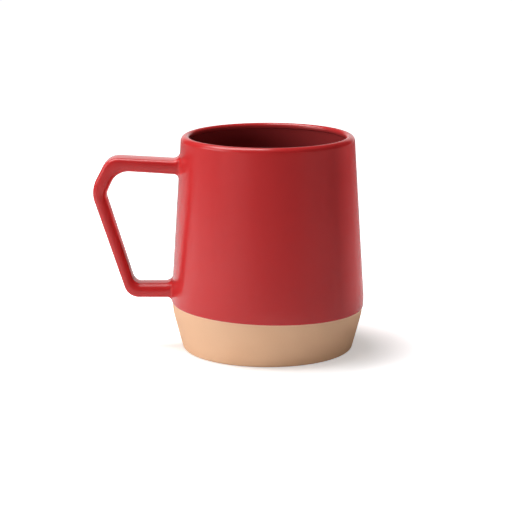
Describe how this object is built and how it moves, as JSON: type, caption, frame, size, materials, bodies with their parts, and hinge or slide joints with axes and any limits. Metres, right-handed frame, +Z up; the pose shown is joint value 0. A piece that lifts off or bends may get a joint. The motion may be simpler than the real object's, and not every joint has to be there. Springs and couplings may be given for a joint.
{
  "type": "mug",
  "caption": "Stoneware mug: bellied body narrowing to the rim, bare clay foot band, satin glaze, loop handle of straight bars.",
  "frame": {"origin": "on the table, under the middle of the mug's bounding box, handle included", "axes": "+Z up along the vessel's axis, -X towards the handle, +Y to the left of someone who looks along +X"},
  "size_m": [0.1256, 0.0898, 0.1],
  "materials": {
    "bare_clay": "matte",
    "dried_slip": "matte",
    "red_glaze": "satin"
  },
  "bodies": {
    "root": {"stoneware_body": "bare_clay", "stoneware_handle": "bare_clay", "upper_slip_joint": "dried_slip", "lower_slip_joint": "dried_slip", "outside_glaze": "red_glaze", "inside_glaze": "red_glaze", "handle_glaze": "red_glaze"}
  },
  "joints": []
}
